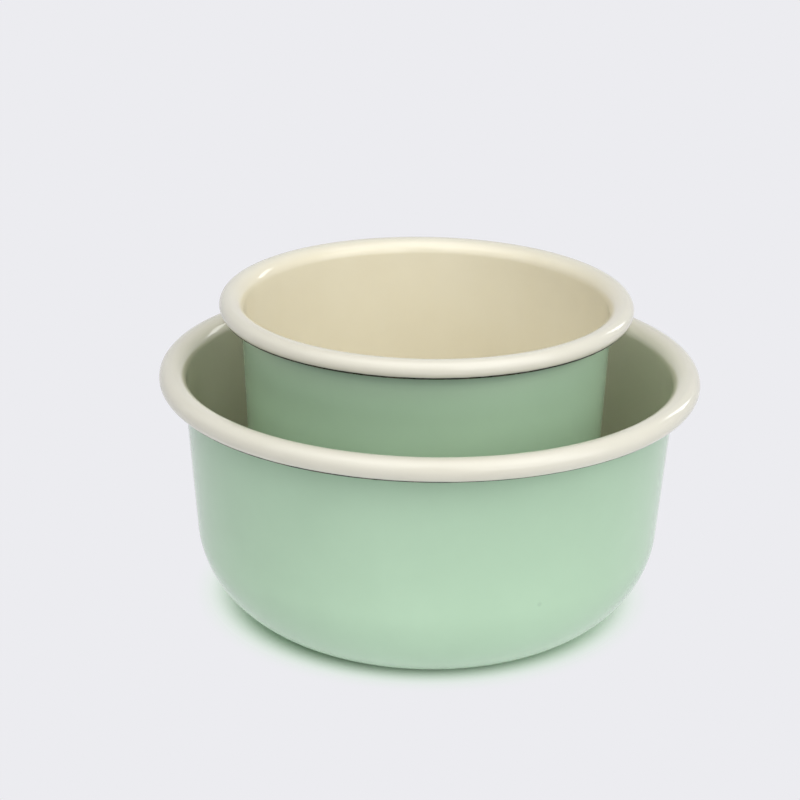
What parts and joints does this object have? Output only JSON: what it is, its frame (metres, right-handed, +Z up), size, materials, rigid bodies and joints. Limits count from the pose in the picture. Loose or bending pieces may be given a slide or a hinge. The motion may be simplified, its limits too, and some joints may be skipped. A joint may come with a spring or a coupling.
{
  "type": "dog bowl",
  "caption": "Wide enamelled steel dog bowl, pale green outside and cream inside, with a rolled rim, holding a deeper narrow bowl of the same make that lifts out",
  "frame": {"origin": "on the table, on the large bowl's axis, at the middle of its flat base", "axes": "+Z up along the large bowl's axis, +X to the right and +Y away as the bowls are seen from the front"},
  "size_m": [0.19, 0.19, 0.1178],
  "materials": {
    "steel": "pressed sheet steel under a dark enamel ground coat",
    "cream_enamel": "opaque gloss vitreous enamel, cream",
    "green_enamel": "opaque gloss vitreous enamel, pale mint green",
    "ground_coat": "opaque dark enamel ground coat"
  },
  "bodies": {
    "large_bowl": {"large_steel_shell": "steel", "large_inside_enamel": "cream_enamel", "large_outside_enamel": "green_enamel", "large_base_enamel": "green_enamel", "large_rim_line": "ground_coat"},
    "small_bowl": {"small_steel_shell": "steel", "small_inside_enamel": "cream_enamel", "small_outside_enamel": "green_enamel", "small_base_enamel": "green_enamel", "small_rim_line": "ground_coat"}
  },
  "joints": [
    {"name": "small_bowl_lift", "type": "slide", "parent": "large_bowl", "child": "small_bowl", "axis": [0, 0, 1], "range_m": [0, 0.11]}
  ]
}
